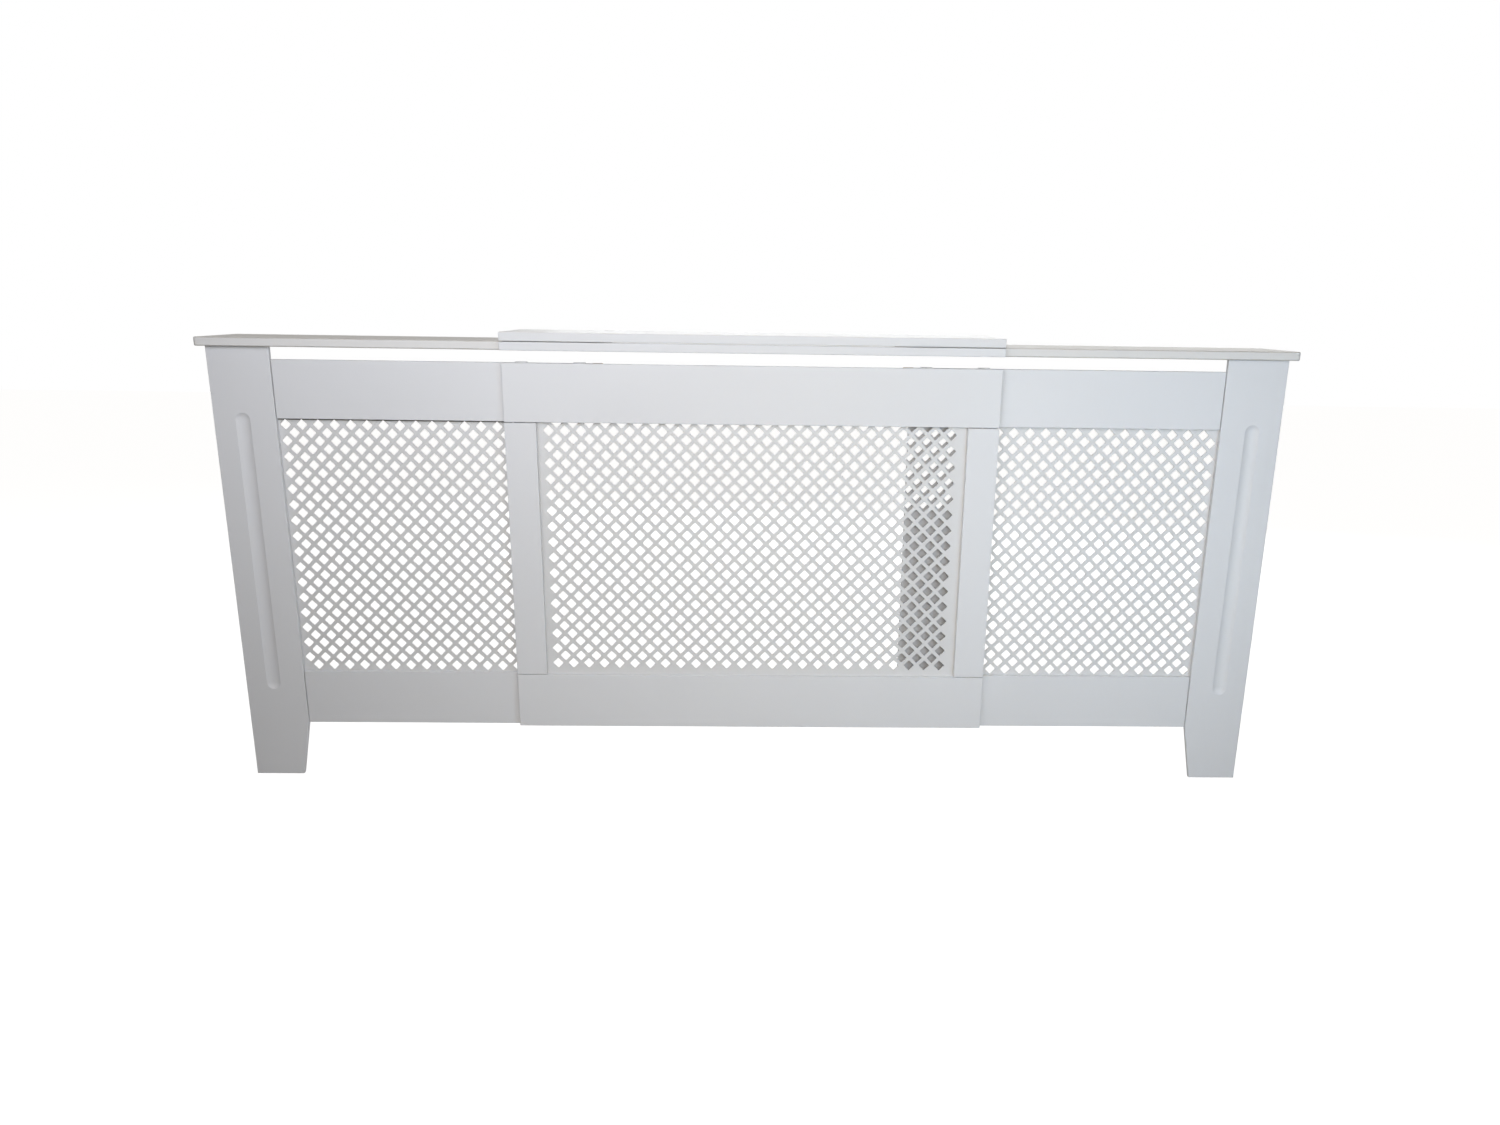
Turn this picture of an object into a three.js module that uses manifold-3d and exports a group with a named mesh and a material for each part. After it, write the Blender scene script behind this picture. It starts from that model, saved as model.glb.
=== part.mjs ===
// Extending radiator cover cabinet: a fixed centre section that carries its own lattice,
// and two end sections on legs that slide in behind it. Millimetres, +Z up, front is -Y,
// origin on the floor under the middle of the cover.
import * as THREE from 'three';
import { mergeVertices } from 'three/addons/utils/BufferGeometryUtils.js';
import Module from 'manifold-3d';

const wasm = await Module();
wasm.setup();

// ---- overall sizes, as the cover stands in the picture ----
const coverWidth = 1900;
const coverHeight = 815;
const coverDepth = 190;

// ---- boards ----
const shelfBoard = 15;
const frameBoard = 9;
const sideBoard = 12;
const sheetThickness = 3;
const easedEdge = 1.2;
const shelfEdgeRound = 2.5;
const restGap = 0.3;

// ---- centre section ----
const centreWidth = 864;
const railHeight = 100;
const stileWidth = 55;
const lipThickness = 12;
const slotHeight = 21;
const floorGap = 104;
const slideClearance = 1;

// ---- end sections ----
const shelfSideOverhang = 15;
const shelfFrontOverhang = 11;
const shelfCornerRadius = 7;
const legWidth = 107;
const footWidth = 88;
const battenWidth = 18;
const battenFootGap = 20;

// ---- routed flute in each leg ----
const fluteWidth = 25;
const fluteDepth = 4.5;
const fluteFromOuterEdge = 50;
const fluteBelowOpening = 35;
const fluteAboveOpening = 9.3;

// ---- lattice sheets: square holes set on their corners ----
const holePitch = 20;
const holeSide = 13.6;
const centreSheetShift = -3.9;
const centreSheetRaise = 10.2;
const centreSheetFirstRow = 1;
const sheetLap = 20;
const holeToStile = 12;
const holeToLeg = 2;
const wideMargin = 109;
const narrowMargin = 12;
const plyParting = 0.3;
const partingReach = 1.5;

// ---- skirting notch at the back of each side panel ----
const notchDepth = 25;
const notchHeight = 120;

// ---- folded and enamelled steel clips that hold the centre frame on the sliding rails ----
const clipSteel = 1.2;
const clipWidth = 20;
const clipDrop = 24;
const clipFromCentreEnd = 32;
const clipSpacing = 100;
const clipHole = 4;

// ---- stop blocks, joining plates, wall brackets ----
const outwardTravel = 10;
const stopThickness = 10;
const stopWidth = 18;
const stopHeight = 60;
const plateSteel = 2;
const plateLength = 80;
const plateHeight = 40;
const plateFromRailEdge = 30;
const plateHole = 5;
const plateHolePlaces = [-30, -12, 12, 30];
const bracketSteel = 2;
const bracketLeg = 26;
const bracketHeight = 20;
const bracketHole = 5;
const bracketHoleFromCorner = 15.5;
const bracketBelowShelf = 75;
const bracketAboveNotch = 30;

// ---- how finely round shapes are drawn ----
const curveSteps = 6;
const shelfEdgeSteps = 3;
const drillSides = 12;
const fluteSides = 40;
const fluteEndSteps = 10;

// ---- places worked out from the sizes above ----
const halfWidth = coverWidth / 2;
const frontY = -coverDepth / 2;
const wallY = coverDepth / 2;
const halfPitch = holePitch / Math.SQRT2;
const halfDiagonal = holeSide / Math.SQRT2;
const centreShelfZ = coverHeight - shelfBoard;
const endShelfTopZ = centreShelfZ - restGap;
const endShelfZ = endShelfTopZ - shelfBoard;
const railTopZ = endShelfZ - slotHeight;
const topRailZ = railTopZ - railHeight;
const bottomRailTopZ = floorGap + railHeight;
const openingMiddleZ = (topRailZ + bottomRailTopZ) / 2;
const stileInnerX = centreWidth / 2 - stileWidth;
const legOuterX = halfWidth - shelfSideOverhang;
const legInnerX = legOuterX - legWidth;
const endShelfFrontY = frontY + lipThickness + slideClearance;
const endFrontY = endShelfFrontY + shelfFrontOverhang;
const endBackY = endFrontY + frameBoard;
const centreFrontY = endFrontY - slideClearance - sheetThickness - frameBoard;
const centreBackY = centreFrontY + frameBoard;
const fluteTop = topRailZ + fluteAboveOpening;
const fluteBottom = bottomRailTopZ - fluteBelowOpening;
const clipOuterX = centreWidth / 2 - clipFromCentreEnd;
const clipInnerX = clipOuterX - clipSpacing;
const stopOuterX = clipInnerX - clipWidth / 2 - outwardTravel - restGap;
const innerReach = stopOuterX - stopWidth;

// As many rows or columns of holes as fit in a length, half a pitch apart.
function holesThatFit(length) {
  return Math.floor((length - 2 * halfDiagonal) / halfPitch) + 1;
}

const latticeRows = holesThatFit(topRailZ - bottomRailTopZ);
const centreColumns = holesThatFit(2 * (stileInnerX - holeToStile));
const endColumns = holesThatFit(legInnerX - holeToLeg - stileInnerX);
const outerHoleX = legInnerX - holeToLeg - halfDiagonal;
const endSheetInnerX = outerHoleX - halfDiagonal - (endColumns - 1) * halfPitch;

// ---- paint and steel ----
const whitePaint = new THREE.MeshStandardMaterial({ color: 0xdcdee3, roughness: 0.45, metalness: 0 });
const latticePaint = new THREE.MeshStandardMaterial({ color: 0xd8dadd, roughness: 0.5, metalness: 0 });
const bareWood = new THREE.MeshStandardMaterial({ color: 0xc8a878, roughness: 0.8, metalness: 0 });
const enamelledSteel = new THREE.MeshStandardMaterial({ color: 0xdfe0e2, roughness: 0.4, metalness: 0 });
const zincSteel = new THREE.MeshStandardMaterial({ color: 0xb4b7ba, roughness: 0.35, metalness: 1 });

// A closed geometry as a solid that can be cut, and back again.
function toSolid(geometry) {
  const bare = geometry.clone();
  bare.deleteAttribute('normal');
  bare.deleteAttribute('uv');
  const merged = mergeVertices(bare, 1e-4);
  const vertProperties = Float32Array.from(merged.attributes.position.array);
  const triVerts = Uint32Array.from(merged.index.array);
  return new wasm.Manifold(new wasm.Mesh({ numProp: 3, vertProperties, triVerts }));
}

function toGeometry(solid) {
  const mesh = solid.getMesh();
  const geometry = new THREE.BufferGeometry();
  geometry.setAttribute('position', new THREE.BufferAttribute(mesh.vertProperties, mesh.numProp));
  geometry.setIndex(new THREE.BufferAttribute(mesh.triVerts, 1));
  return geometry;
}

function shapeFrom(points) {
  return new THREE.Shape(points.map(([a, b]) => new THREE.Vector2(a, b)));
}

function rectangle(x0, z0, x1, z1) {
  return shapeFrom([[x0, z0], [x1, z0], [x1, z1], [x0, z1]]);
}

// Options for a plain extrusion, or for one whose two faces have eased edges.
function extrusion(thickness, ease, segments) {
  return {
    depth: thickness - 2 * ease,
    bevelEnabled: ease > 0,
    bevelThickness: ease,
    bevelSize: ease,
    bevelOffset: -ease,
    bevelSegments: segments,
    curveSegments: curveSteps,
  };
}

// A board that stands in the XZ plane: the outline is seen from the front, from y0 backwards.
function uprightBoard(shape, y0, thickness, ease = easedEdge) {
  const geometry = new THREE.ExtrudeGeometry(shape, extrusion(thickness, ease, 1));
  geometry.rotateX(Math.PI / 2);
  geometry.translate(0, y0 + thickness - ease, 0);
  return geometry;
}

// A board that lies flat: the outline is seen from above, from z0 upwards.
function flatBoard(shape, z0, thickness, ease = easedEdge) {
  const geometry = new THREE.ExtrudeGeometry(shape, extrusion(thickness, ease, shelfEdgeSteps));
  geometry.translate(0, 0, z0 + ease);
  return geometry;
}

// A board that stands in the YZ plane: the outline is seen from the right, from x0 rightwards.
function sideBoardGeometry(shape, x0, thickness, ease = easedEdge) {
  const geometry = new THREE.ExtrudeGeometry(shape, extrusion(thickness, ease, 1));
  geometry.rotateY(Math.PI / 2);
  geometry.rotateX(Math.PI / 2);
  geometry.translate(x0 + ease, 0, 0);
  return geometry;
}

// A cutter for a round hole through thin steel, along Y.
function drill(diameter, steel) {
  return new THREE.CylinderGeometry(diameter / 2, diameter / 2, 2 * steel, drillSides);
}

function part(name, geometry, material) {
  const mesh = new THREE.Mesh(geometry, material);
  mesh.name = name;
  return mesh;
}

// ---- lattice sheet ----
// Square holes on their corners, at every second place of the grid: where column + row is even,
// or odd when first is 1. Two sets of crossing slots, one through the front half of the sheet
// and one through the back half, open the same square holes where they cross, and a hairline
// parting between the halves ends inside the rim.
function diagonalSlots(columns, rows, slope, first) {
  const slots = [];
  for (let line = -rows; line < columns + rows; line += 1) {
    const cells = [];
    for (let row = 0; row < rows; row += 1) {
      const column = line + slope * row;
      if (column >= 0 && column < columns && (column + row) % 2 === first) cells.push([column, row]);
    }
    if (cells.length > 0) slots.push([cells[0], cells[cells.length - 1]]);
  }
  return slots;
}

function slotShape([[c0, r0], [c1, r1]], holeX, holeZ, slope) {
  const along = new THREE.Vector2(slope, -1).normalize();
  const across = new THREE.Vector2(along.y, -along.x);
  const start = new THREE.Vector2(holeX(c0), holeZ(r0));
  const end = new THREE.Vector2(holeX(c1), holeZ(r1));
  const half = holeSide / 2;
  const corner = (from, a, b) => {
    const moved = from.clone().addScaledVector(along, a * half);
    return moved.addScaledVector(across, b * half);
  };
  return new THREE.Shape([
    corner(start, -1, -1), corner(start, -1, 1), corner(end, 1, 1), corner(end, 1, -1),
  ]);
}

function slotCutters({ columns, first, holeX, holeZ }, slope, y0, thickness) {
  const slots = diagonalSlots(columns, latticeRows, slope, first);
  const shapes = slots.map((slot) => slotShape(slot, holeX, holeZ, slope));
  return toSolid(uprightBoard(shapes, y0, thickness, 0));
}

function latticeSheet(outline, grid, y0) {
  const { columns, holeX, holeZ } = grid;
  const sheet = toSolid(uprightBoard(outline, y0, sheetThickness, 0));
  const halfSheet = sheetThickness / 2;
  const parting = plyParting / 2;
  const deep = halfSheet + restGap;
  const xs = [holeX(0), holeX(columns - 1)].sort((a, b) => a - b);
  const reach = halfDiagonal + partingReach;
  const pocket = rectangle(xs[0] - reach, holeZ(latticeRows - 1) - reach, xs[1] + reach, holeZ(0) + reach);
  const front = slotCutters(grid, 1, y0 - restGap, deep);
  const back = slotCutters(grid, -1, y0 + halfSheet, deep);
  const gap = toSolid(uprightBoard(pocket, y0 + halfSheet - parting, plyParting, 0));
  return toGeometry(sheet.subtract(front).subtract(back).subtract(gap));
}

// ---- centre section ----
function centreRail(name, z0) {
  const half = centreWidth / 2;
  const shape = rectangle(-half, z0, half, z0 + railHeight);
  return part(name, uprightBoard(shape, centreFrontY, frameBoard), whitePaint);
}

function centreStile(name, side) {
  const x0 = side < 0 ? -centreWidth / 2 : stileInnerX;
  const shape = rectangle(x0, bottomRailTopZ, x0 + stileWidth, topRailZ);
  return part(name, uprightBoard(shape, centreFrontY, frameBoard), whitePaint);
}

function centreLattice() {
  const middle = (centreColumns - 1) / 2;
  const holeX = (column) => centreSheetShift + (column - middle) * halfPitch;
  const holeZ = (row) => openingMiddleZ + centreSheetRaise + ((latticeRows - 1) / 2 - row) * halfPitch;
  const halfSheet = stileInnerX + sheetLap;
  const outline = rectangle(-halfSheet, bottomRailTopZ - sheetLap, halfSheet, topRailZ + sheetLap);
  const grid = { columns: centreColumns, first: centreSheetFirstRow, holeX, holeZ };
  const geometry = latticeSheet(outline, grid, centreBackY);
  return part('centre_lattice', geometry, latticePaint);
}

function centreShelf() {
  const half = centreWidth / 2;
  const shape = rectangle(-half, frontY, half, wallY);
  return part('centre_shelf', flatBoard(shape, centreShelfZ, shelfBoard), whitePaint);
}

function centreShelfLip() {
  const half = centreWidth / 2;
  const shape = rectangle(-half, endShelfZ, half, centreShelfZ);
  return part('centre_shelf_lip', uprightBoard(shape, frontY, lipThickness), whitePaint);
}

// A folded clip: its short leg lies on the back of the centre rail, its bridge passes over the
// free edge of the sliding rail (over = 1 on top, -1 below) and its long leg drops behind it.
function guideClip(name, x, edgeZ, over) {
  const shortLegY = centreBackY;
  const longLegY = endBackY + restGap;
  const bridge = edgeZ + over * restGap;
  const crown = bridge + over * clipSteel;
  const tip = edgeZ - over * clipDrop;
  const profile = shapeFrom([
    [shortLegY, tip], [shortLegY, crown], [longLegY + clipSteel, crown], [longLegY + clipSteel, tip],
    [longLegY, tip], [longLegY, bridge], [shortLegY + clipSteel, bridge], [shortLegY + clipSteel, tip],
  ]);
  const clip = toSolid(sideBoardGeometry(profile, x - clipWidth / 2, clipWidth, 0));
  const clipDrill = drill(clipHole, clipSteel);
  clipDrill.translate(x, longLegY + clipSteel / 2, edgeZ - over * clipDrop / 2);
  return part(name, toGeometry(clip.subtract(toSolid(clipDrill))), enamelledSteel);
}

function centreClips() {
  const clips = [];
  for (const [sideName, side] of [['left', -1], ['right', 1]]) {
    for (const [place, x] of [['outer', clipOuterX], ['inner', clipInnerX]]) {
      clips.push(guideClip(`${sideName}_top_${place}_clip`, side * x, railTopZ, 1));
      clips.push(guideClip(`${sideName}_bottom_${place}_clip`, side * x, floorGap, -1));
    }
  }
  return clips;
}

// ---- end sections ----
// Each piece is drawn for the right end and mirrored for the left by side = -1.
function mirrored(points, side) {
  const placed = points.map(([x, z]) => [side * x, z]);
  return shapeFrom(side < 0 ? placed.reverse() : placed);
}

// The flute's cutter: a round bar with ball ends, sunk into the face by the flute's depth.
function fluteCutter(side) {
  const radius = ((fluteWidth / 2) ** 2 + fluteDepth ** 2) / (2 * fluteDepth);
  const length = fluteTop - fluteBottom - fluteWidth;
  const bar = new THREE.CapsuleGeometry(radius, length, fluteEndSteps, fluteSides);
  bar.rotateX(Math.PI / 2);
  const y = endFrontY + fluteDepth - radius;
  bar.translate(side * (legOuterX - fluteFromOuterEdge), y, (fluteTop + fluteBottom) / 2);
  return toSolid(bar);
}

function leg(prefix, side) {
  const points = [
    [legOuterX - footWidth, 0], [legOuterX, 0], [legOuterX, endShelfZ],
    [legInnerX, endShelfZ], [legInnerX, floorGap],
  ];
  const blank = toSolid(uprightBoard(mirrored(points, side), endFrontY, frameBoard));
  return part(`${prefix}_leg`, toGeometry(blank.subtract(fluteCutter(side))), whitePaint);
}

function sidePanel(prefix, side) {
  const shape = shapeFrom([
    [endBackY, 0], [wallY - notchDepth, 0], [wallY - notchDepth, notchHeight],
    [wallY, notchHeight], [wallY, endShelfZ], [endBackY, endShelfZ],
  ]);
  const x0 = side < 0 ? -legOuterX : legOuterX - sideBoard;
  return part(`${prefix}_side_panel`, sideBoardGeometry(shape, x0, sideBoard), whitePaint);
}

function endRail(name, side, z0) {
  const z1 = z0 + railHeight;
  const points = [[innerReach, z0], [legInnerX, z0], [legInnerX, z1], [innerReach, z1]];
  return part(name, uprightBoard(mirrored(points, side), endFrontY, frameBoard), whitePaint);
}

// Both end sheets carry one hole pattern; the right sheet is the left one turned half a turn,
// so its wide margin is at the inner end, and the left one's is behind the leg.
function endLattice(prefix, side) {
  const leftX = (column) => column * halfPitch - outerHoleX;
  const rightX = (column) => outerHoleX - (endColumns - 1 - column) * halfPitch;
  const holeX = side < 0 ? leftX : rightX;
  const first = side < 0 ? 0 : (latticeRows - 1) % 2;
  const holeZ = (row) => openingMiddleZ + ((latticeRows - 1) / 2 - row) * halfPitch;
  const battenX = legOuterX - sideBoard - battenWidth - restGap;
  const inner = side < 0 ? endSheetInnerX - narrowMargin : endSheetInnerX - wideMargin;
  const outer = side < 0 ? battenX : legInnerX + narrowMargin;
  const z0 = bottomRailTopZ - sheetLap;
  const z1 = topRailZ + sheetLap;
  const outline = mirrored([[inner, z0], [outer, z0], [outer, z1], [inner, z1]], side);
  const geometry = latticeSheet(outline, { columns: endColumns, first, holeX, holeZ }, endBackY);
  return part(`${prefix}_lattice`, geometry, latticePaint);
}

function endShelf(prefix, side) {
  const r = shelfCornerRadius;
  const shape = new THREE.Shape();
  shape.moveTo(innerReach, endShelfFrontY);
  shape.lineTo(halfWidth - r, endShelfFrontY);
  shape.absarc(halfWidth - r, endShelfFrontY + r, r, -Math.PI / 2, 0, false);
  shape.lineTo(halfWidth, wallY);
  shape.lineTo(innerReach, wallY);
  const outline = shape.getPoints(curveSteps).map((point) => [point.x, point.y]);
  const geometry = flatBoard(mirrored(outline, side), endShelfZ, shelfBoard, shelfEdgeRound);
  return part(`${prefix}_shelf`, geometry, whitePaint);
}

function cornerBatten(prefix, side) {
  const outer = legOuterX - sideBoard;
  const inner = outer - battenWidth;
  const points = [
    [inner, battenFootGap], [outer, battenFootGap], [outer, endShelfZ], [inner, endShelfZ],
  ];
  const geometry = uprightBoard(mirrored(points, side), endBackY, battenWidth);
  return part(`${prefix}_corner_batten`, geometry, bareWood);
}

function shelfCleat(prefix, side) {
  const front = endBackY + battenWidth;
  const back = wallY - bracketLeg;
  const z0 = endShelfZ - battenWidth;
  const shape = shapeFrom([[front, z0], [back, z0], [back, endShelfZ], [front, endShelfZ]]);
  const outer = legOuterX - sideBoard;
  const x0 = side < 0 ? -outer : outer - battenWidth;
  return part(`${prefix}_shelf_cleat`, sideBoardGeometry(shape, x0, battenWidth), bareWood);
}

// A flat steel plate with four screw holes across the joint of leg and rail.
function joiningPlate(name, side, z0) {
  const halfLength = plateLength / 2;
  const points = [
    [legInnerX - halfLength, z0], [legInnerX + halfLength, z0],
    [legInnerX + halfLength, z0 + plateHeight], [legInnerX - halfLength, z0 + plateHeight],
  ];
  const shape = mirrored(points, side);
  for (const fromJoint of plateHolePlaces) {
    const hole = new THREE.Path();
    const x = side * (legInnerX + fromJoint);
    hole.absarc(x, z0 + plateHeight / 2, plateHole / 2, 0, 2 * Math.PI, true);
    shape.holes.push(hole);
  }
  return part(name, uprightBoard(shape, endBackY, plateSteel, 0), zincSteel);
}

// A block behind the inner end of a sliding rail: it meets the inner clip at full width.
function stopBlock(name, side, z0) {
  const z1 = z0 + stopHeight;
  const points = [[innerReach, z0], [stopOuterX, z0], [stopOuterX, z1], [innerReach, z1]];
  return part(name, uprightBoard(mirrored(points, side), endBackY, stopThickness), bareWood);
}

// A small steel angle that ties the back of the side panel to the wall.
function wallBracket(name, side, z0) {
  const panelX = legOuterX - sideBoard;
  const tipX = panelX - bracketLeg;
  const tipY = wallY - bracketLeg;
  const points = [
    [tipX, wallY], [tipX, wallY - bracketSteel], [panelX - bracketSteel, wallY - bracketSteel],
    [panelX - bracketSteel, tipY], [panelX, tipY], [panelX, wallY],
  ];
  const angle = toSolid(flatBoard(mirrored(points, side), z0, bracketHeight, 0));
  const middleZ = z0 + bracketHeight / 2;
  const wallDrill = drill(bracketHole, bracketSteel);
  wallDrill.translate(side * (panelX - bracketHoleFromCorner), wallY - bracketSteel / 2, middleZ);
  const panelDrill = drill(bracketHole, bracketSteel);
  panelDrill.rotateZ(Math.PI / 2);
  panelDrill.translate(side * (panelX - bracketSteel / 2), wallY - bracketHoleFromCorner, middleZ);
  const drilled = angle.subtract(toSolid(wallDrill)).subtract(toSolid(panelDrill));
  return part(name, toGeometry(drilled), zincSteel);
}

function endSection(prefix, side) {
  const group = new THREE.Group();
  group.add(leg(prefix, side));
  group.add(sidePanel(prefix, side));
  group.add(endRail(`${prefix}_top_rail`, side, topRailZ));
  group.add(endRail(`${prefix}_bottom_rail`, side, floorGap));
  group.add(endLattice(prefix, side));
  group.add(endShelf(prefix, side));
  group.add(cornerBatten(prefix, side));
  group.add(shelfCleat(prefix, side));
  const lowPlateZ = bottomRailTopZ - plateFromRailEdge - plateHeight;
  group.add(joiningPlate(`${prefix}_top_joining_plate`, side, topRailZ + plateFromRailEdge));
  group.add(joiningPlate(`${prefix}_bottom_joining_plate`, side, lowPlateZ));
  group.add(stopBlock(`${prefix}_top_stop_block`, side, railTopZ - stopHeight));
  group.add(stopBlock(`${prefix}_bottom_stop_block`, side, floorGap));
  const upperZ = endShelfZ - bracketBelowShelf - bracketHeight;
  group.add(wallBracket(`${prefix}_upper_wall_bracket`, side, upperZ));
  group.add(wallBracket(`${prefix}_lower_wall_bracket`, side, notchHeight + bracketAboveNotch));
  return group;
}

function centreSection() {
  const group = new THREE.Group();
  group.add(centreRail('centre_top_rail', topRailZ));
  group.add(centreRail('centre_bottom_rail', floorGap));
  group.add(centreStile('centre_left_stile', -1));
  group.add(centreStile('centre_right_stile', 1));
  group.add(centreLattice());
  group.add(centreShelf());
  group.add(centreShelfLip());
  group.add(...centreClips());
  return group;
}

const radiatorCover = new THREE.Group();
radiatorCover.add(centreSection());
radiatorCover.add(endSection('left', -1));
radiatorCover.add(endSection('right', 1));

export default radiatorCover;
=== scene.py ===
from math import cos, pi, radians, sin, sqrt

import bmesh
import bpy
from mathutils import Matrix, Vector


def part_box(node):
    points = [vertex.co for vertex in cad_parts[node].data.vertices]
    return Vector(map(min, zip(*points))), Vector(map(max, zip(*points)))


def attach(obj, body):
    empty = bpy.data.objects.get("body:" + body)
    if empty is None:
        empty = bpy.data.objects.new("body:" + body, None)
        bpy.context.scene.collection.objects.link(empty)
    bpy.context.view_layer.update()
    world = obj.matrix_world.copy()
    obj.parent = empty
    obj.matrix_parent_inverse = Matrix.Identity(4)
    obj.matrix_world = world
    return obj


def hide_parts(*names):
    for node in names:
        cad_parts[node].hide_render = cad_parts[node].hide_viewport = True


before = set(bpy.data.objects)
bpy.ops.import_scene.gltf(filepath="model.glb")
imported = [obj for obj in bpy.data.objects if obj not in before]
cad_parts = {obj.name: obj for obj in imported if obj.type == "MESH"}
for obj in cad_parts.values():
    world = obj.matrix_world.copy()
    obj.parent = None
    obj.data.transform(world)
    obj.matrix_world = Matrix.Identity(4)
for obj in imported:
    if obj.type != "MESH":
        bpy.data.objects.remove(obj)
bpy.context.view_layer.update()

# ---- where the picture was taken from ----
# Standing about 2.2 m in front of the middle, with the eye 5 cm above the shelf, looking down by
# 17 degrees. The frame is shifted a little, to have the cover where the picture has it.
camera = bpy.data.objects.new("camera", bpy.data.cameras.new("camera"))
camera.location = (0.0032, -2.1564, 0.8702)
camera.rotation_euler = (radians(73.145), radians(-0.823), radians(-1.292))
camera.data.sensor_width = 36
camera.data.lens = 28.124
camera.data.shift_x = -0.0223
camera.data.shift_y = 0.0629
bpy.context.scene.collection.objects.link(camera)
bpy.context.scene.camera = camera
bpy.context.scene.view_settings.view_transform = "Standard"


# ---- the white studio ----
# A white room without edges and a white floor that keeps the cover's shadow. A cool lamp hangs
# close in front of the shelf, a warm and a bluish one stand to the right, and two wide ones light
# the shelves and the back. The left leg's foot is farthest from them and stands in half shade.
class Shade:
    """A value on a surface: sums and products of it are added as Math nodes."""

    def __init__(self, tree, socket=None):
        self.tree = tree
        self.socket = socket

    def node(self, kind, settings=None, values=None, out=0):
        """A new node: its settings come first, then the values or links of its sockets."""
        made = self.tree.nodes.new(kind)
        for name, setting in (settings or {}).items():
            setattr(made, name, setting)
        for name, value in (values or {}).items():
            if isinstance(value, Shade):
                self.tree.links.new(value.socket, made.inputs[name])
            else:
                made.inputs[name].default_value = value
        return Shade(self.tree, made.outputs[out] if made.outputs else None)

    def maths(self, operation, *values):
        return self.node("ShaderNodeMath", {"operation": operation}, dict(enumerate(values)))

    def __add__(self, other):
        return self.maths("ADD", self, other)

    __radd__ = __add__

    def __rsub__(self, other):
        return self.maths("SUBTRACT", other, self)

    def __mul__(self, other):
        return self.maths("MULTIPLY", self, other)

    __rmul__ = __mul__

    def __abs__(self):
        return self.maths("ABSOLUTE", self)

    def between(self, low, high):
        """0 below low, 1 above high and smooth in between."""
        return self.node(
            "ShaderNodeMapRange",
            {"interpolation_type": "SMOOTHSTEP"},
            {0: self, 1: low, 2: high},
        )

    def tint(self, first, second):
        """The first colour where this is 0, the second where it is 1."""
        return self.node(
            "ShaderNodeMix", {"data_type": "RGBA"}, {0: self, 6: first, 7: second}, out=2
        )


def empty_tree(owner):
    """Where the nodes of a world or a material start."""
    owner.use_nodes = True
    owner.node_tree.nodes.clear()
    return Shade(owner.node_tree)


def seen_directly(start):
    """1 for what the camera sees itself, in a mirror or through glass, 0 for lit surfaces."""
    straight = start.node("ShaderNodeLightPath", out="Is Camera Ray")
    mirrored = start.node("ShaderNodeLightPath", out="Is Glossy Ray")
    through = start.node("ShaderNodeLightPath", out="Is Transmission Ray")
    return start.maths("MINIMUM", straight + mirrored + through, 1.0)


pure_white = (1, 1, 1, 1)
warm_haze = (1, 0.87, 0.70, 1)
haze_strength = 0.15
room = bpy.data.worlds.new("white_room")
bpy.context.scene.world = room
start = empty_tree(room)
white = start.node("ShaderNodeBackground", values={"Color": pure_white, "Strength": 1.0})
ambient = start.node(
    "ShaderNodeBackground", values={"Color": warm_haze, "Strength": haze_strength}
)
sky = start.node("ShaderNodeMixShader", values={0: seen_directly(start), 1: ambient, 2: white})
start.node("ShaderNodeOutputWorld", values={"Surface": sky})

reach = 9.0
below_the_feet = 0.0004
floor_grey = (0.36, 0.36, 0.36, 1)
floor_glow = 0.94
floor_mesh = bpy.data.meshes.new("floor")
floor_mesh.from_pydata(
    [(-reach, -reach, 0), (reach, -reach, 0), (reach, reach, 0), (-reach, reach, 0)],
    [],
    [(0, 1, 2, 3)],
)
floor_sheet = bpy.data.objects.new("floor", floor_mesh)
floor_sheet.location.z = -below_the_feet
bpy.context.scene.collection.objects.link(floor_sheet)
floor_white = bpy.data.materials.new("floor_white")
start = empty_tree(floor_white)
lit = start.node("ShaderNodeBsdfDiffuse", values={"Color": floor_grey})
glow = start.node("ShaderNodeEmission", values={"Color": pure_white, "Strength": floor_glow})
shown = start.node("ShaderNodeAddShader", values={0: lit, 1: glow})
both = start.node("ShaderNodeMixShader", values={0: seen_directly(start), 1: lit, 2: shown})
start.node("ShaderNodeOutputMaterial", values={"Surface": both})
floor_mesh.materials.append(floor_white)


def soft_lamp(name, place, target, size, power, colour, spread=180):
    """A flat lamp: size is its width and height, spread the angle it shines through."""
    lamp = bpy.data.objects.new(name, bpy.data.lights.new(name, "AREA"))
    lamp.data.shape = "RECTANGLE"
    lamp.data.size, lamp.data.size_y = size
    lamp.data.energy = power
    lamp.data.color = colour
    lamp.data.spread = radians(spread)
    lamp.location = place
    aim = Vector(target) - Vector(place)
    lamp.rotation_euler = aim.to_track_quat("-Z", "Y").to_euler()
    bpy.context.scene.collection.objects.link(lamp)


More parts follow.
